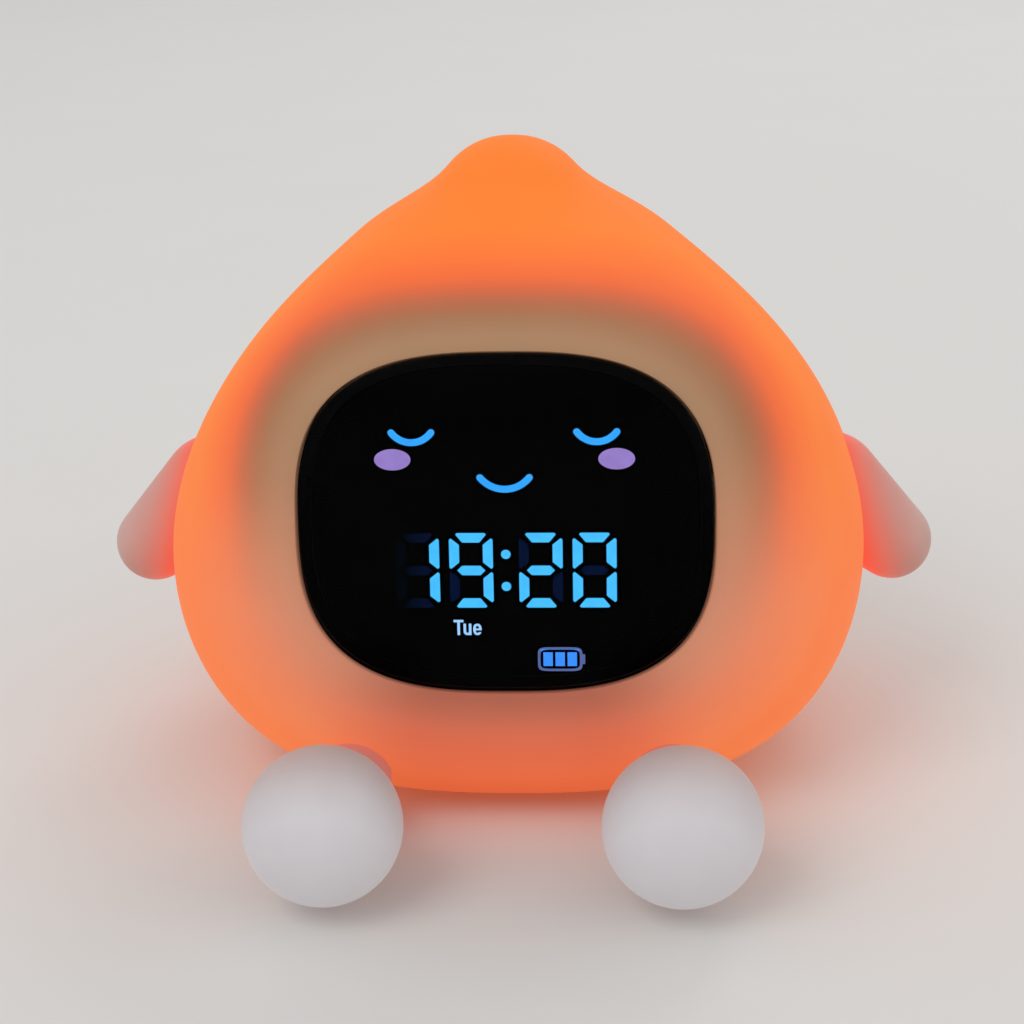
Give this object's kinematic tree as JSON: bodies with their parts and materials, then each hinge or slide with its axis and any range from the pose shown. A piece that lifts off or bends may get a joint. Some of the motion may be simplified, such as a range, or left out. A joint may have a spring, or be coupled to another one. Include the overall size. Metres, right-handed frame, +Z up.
{
  "type": "kids alarm clock with night light",
  "caption": "Soft drop-shaped night light and alarm clock with a dark display face, short side arms, ball feet and a back panel with push buttons, power slider and speaker grille.",
  "frame": {"origin": "centre of the flat underside, on the table", "axes": "+Z up to the drop's tip, -Y out of the display face, +X to the right as seen from the front"},
  "size_m": [0.1452, 0.1229, 0.108],
  "materials": {
    "skin_silicone": "matte translucent silicone",
    "arm_silicone": "matte translucent silicone",
    "foot_silicone": "matte white silicone",
    "diffuser_plastic": "milky polycarbonate",
    "white_plastic": "fine texture",
    "button_plastic": "satin",
    "soft_pad": "matte",
    "plated_steel": "zinc plated",
    "smoked_lens": "polished smoked acrylic",
    "black_tape": "foam tape",
    "mask_black": "light-tight film",
    "digit_light": "lit window",
    "digit_dark": "unlit window",
    "face_light": "lit window",
    "cheek_light": "lit window",
    "status_light": "lit window",
    "reflector_white": "white reflector",
    "led_package": "moulded package",
    "green_board": "solder mask",
    "white_board": "white solder mask",
    "chip_black": "moulded",
    "ribbon_film": "flat cable",
    "sensor_brass": "plated can",
    "switch_metal": "tinned shell",
    "speaker_black": "moulded frame",
    "lead_insulation": "PVC insulation",
    "cell_foil": "foil pouch",
    "foam_black": "foam pad"
  },
  "bodies": {
    "case": {"silicone_skin": "skin_silicone", "diffuser_dome": "diffuser_plastic", "left_arm": "arm_silicone", "right_arm": "arm_silicone", "left_foot": "foot_silicone", "right_foot": "foot_silicone", "foot_plates": "plated_steel", "foot_screws": "plated_steel", "base_pad": "soft_pad", "bottom_cover": "white_plastic", "base_tray": "white_plastic", "base_screws": "plated_steel", "battery_pad": "foam_black", "battery_cell": "cell_foil", "battery_leads": "lead_insulation", "light_board": "white_board", "rgb_leds": "led_package", "light_board_screws": "plated_steel", "light_leads": "lead_insulation", "display_lens": "smoked_lens", "lens_tape": "black_tape", "display_mask": "mask_black", "digit_bars_lit": "digit_light", "digit_bars_unlit": "digit_dark", "face_symbols": "face_light", "cheek_symbols": "cheek_light", "status_symbols": "status_light", "reflector_block": "reflector_white", "segment_leds": "led_package", "display_board": "green_board", "display_chips": "chip_black", "display_housing": "white_plastic", "display_screws": "plated_steel", "display_ribbon": "ribbon_film", "main_board": "green_board", "board_chips": "chip_black", "tap_sensor": "sensor_brass", "tact_switches": "chip_black", "slide_switch": "switch_metal", "usb_socket": "switch_metal", "board_screws": "plated_steel", "speaker": "speaker_black", "speaker_leads": "lead_insulation", "back_panel": "white_plastic", "back_panel_screws": "plated_steel"},
    "mode_button": {"mode_button": "button_plastic"},
    "set_button": {"set_button": "button_plastic"},
    "alarm_button": {"alarm_button": "button_plastic"},
    "up_button": {"up_button": "button_plastic"},
    "down_button": {"down_button": "button_plastic"},
    "power_slider": {"power_slider": "button_plastic"}
  },
  "joints": [
    {"name": "mode_press", "type": "slide", "parent": "case", "child": "mode_button", "axis": [0, -1, 0], "range_m": [0, 0.0007], "stiffness_N_per_m": 900, "springref_m": -0.0003},
    {"name": "set_press", "type": "slide", "parent": "case", "child": "set_button", "axis": [0, -1, 0], "range_m": [0, 0.0007], "stiffness_N_per_m": 900, "springref_m": -0.0003},
    {"name": "alarm_press", "type": "slide", "parent": "case", "child": "alarm_button", "axis": [0, -1, 0], "range_m": [0, 0.0007], "stiffness_N_per_m": 900, "springref_m": -0.0003},
    {"name": "up_press", "type": "slide", "parent": "case", "child": "up_button", "axis": [0, -1, 0], "range_m": [0, 0.0007], "stiffness_N_per_m": 900, "springref_m": -0.0003},
    {"name": "down_press", "type": "slide", "parent": "case", "child": "down_button", "axis": [0, -1, 0], "range_m": [0, 0.0007], "stiffness_N_per_m": 900, "springref_m": -0.0003},
    {"name": "power_slide", "type": "slide", "parent": "case", "child": "power_slider", "axis": [1, 0, 0], "range_m": [0, 0.003]}
  ]
}
